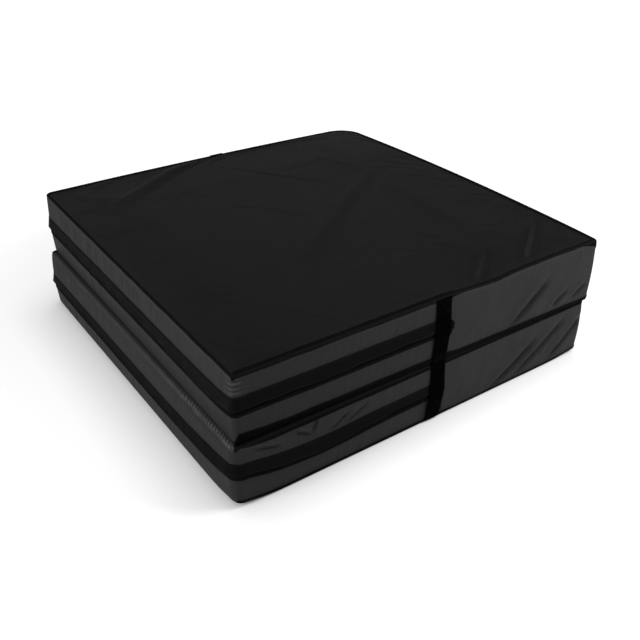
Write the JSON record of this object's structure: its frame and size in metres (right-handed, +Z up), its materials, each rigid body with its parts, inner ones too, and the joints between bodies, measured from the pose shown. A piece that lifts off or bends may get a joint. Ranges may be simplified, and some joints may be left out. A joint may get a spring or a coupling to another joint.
{
  "type": "folding crash mat",
  "caption": "Folding foam crash mat: thick sections in zip-off fabric covers joined by a fabric hinge, with flaps over the zips and hook-and-loop closing straps.",
  "frame": {"origin": "middle of the underside, on the floor, with the mat folded in half", "axes": "+Z up, out of the floor; +X from the free, zipped end towards the hinge; +Y towards the far long side, opposite the one the picture shows"},
  "size_m": [1.2807, 1.2893, 0.4055],
  "materials": {
    "panel_nylon": "satin",
    "wall_nylon": "satin",
    "flap_nylon": "satin",
    "binding_tape": "matte",
    "zip_tape": "matte",
    "zip_coil": "gloss",
    "webbing": "matte",
    "hook_and_loop": "matte",
    "foam": "matte",
    "slider_paint": "satin"
  },
  "bodies": {
    "lower_section": {"lower_foam_core": "foam", "lower_base_panel": "panel_nylon", "lower_landing_panel": "panel_nylon", "lower_wall_strip_top": "wall_nylon", "lower_wall_strip_bottom": "wall_nylon", "lower_plain_wall": "wall_nylon", "lower_outer_binding": "binding_tape", "lower_landing_binding": "binding_tape", "lower_zip_tape_top": "zip_tape", "lower_zip_tape_bottom": "zip_tape", "lower_zip_coil_top": "zip_coil", "lower_zip_coil_bottom": "zip_coil", "lower_zip_flap": "flap_nylon", "lower_zip_end_tab_near": "binding_tape", "lower_zip_end_tab_far": "binding_tape", "lower_hinge_web": "flap_nylon", "strap_near_loop_patch": "hook_and_loop", "strap_far_loop_patch": "hook_and_loop"},
    "upper_section": {"upper_foam_core": "foam", "upper_top_panel": "panel_nylon", "upper_landing_panel": "panel_nylon", "upper_wall_strip_top": "wall_nylon", "upper_wall_strip_bottom": "wall_nylon", "upper_plain_wall": "wall_nylon", "upper_outer_binding": "binding_tape", "upper_landing_binding": "binding_tape", "upper_zip_tape_top": "zip_tape", "upper_zip_tape_bottom": "zip_tape", "upper_zip_coil_top": "zip_coil", "upper_zip_coil_bottom": "zip_coil", "upper_zip_flap": "flap_nylon", "upper_zip_end_tab_near": "binding_tape", "upper_zip_end_tab_far": "binding_tape", "upper_hinge_web": "flap_nylon", "strap_near_anchor": "webbing", "strap_far_anchor": "webbing"},
    "strap_near": {"strap_near_tail": "webbing", "strap_near_hook_patch": "hook_and_loop"},
    "strap_far": {"strap_far_tail": "webbing", "strap_far_hook_patch": "hook_and_loop"},
    "lower_slider": {"lower_zip_slider": "slider_paint"},
    "lower_pull": {"lower_zip_pull": "binding_tape"},
    "upper_slider": {"upper_zip_slider": "slider_paint"},
    "upper_pull": {"upper_zip_pull": "binding_tape"}
  },
  "joints": [
    {"name": "fold_hinge", "type": "hinge", "parent": "lower_section", "child": "upper_section", "pos_m": [0.633, 0, 0.195], "axis": [0, 1, 0], "range_deg": [0, 180]},
    {"name": "strap_near_peel", "type": "hinge", "parent": "upper_section", "child": "strap_near", "pos_m": [0.03, -0.63059, 0.195], "axis": [-1, 0, 0], "range_deg": [0, 160]},
    {"name": "strap_far_peel", "type": "hinge", "parent": "upper_section", "child": "strap_far", "pos_m": [0.03, 0.6303, 0.195], "axis": [1, 0, 0], "range_deg": [0, 160]},
    {"name": "lower_zip_slide", "type": "slide", "parent": "lower_section", "child": "lower_slider", "axis": [-1, 0, 0], "range_m": [0, 0.42]},
    {"name": "lower_pull_swing", "type": "hinge", "parent": "lower_slider", "child": "lower_pull", "pos_m": [-0.06, 0.63804, 0.0873], "axis": [1, 0, 0], "range_deg": [0, 30]},
    {"name": "upper_zip_slide", "type": "slide", "parent": "upper_section", "child": "upper_slider", "axis": [-1, 0, 0], "range_m": [0, 0.42]},
    {"name": "upper_pull_swing", "type": "hinge", "parent": "upper_slider", "child": "upper_pull", "pos_m": [-0.06, 0.63811, 0.29545], "axis": [1, 0, 0], "range_deg": [0, 30]}
  ]
}
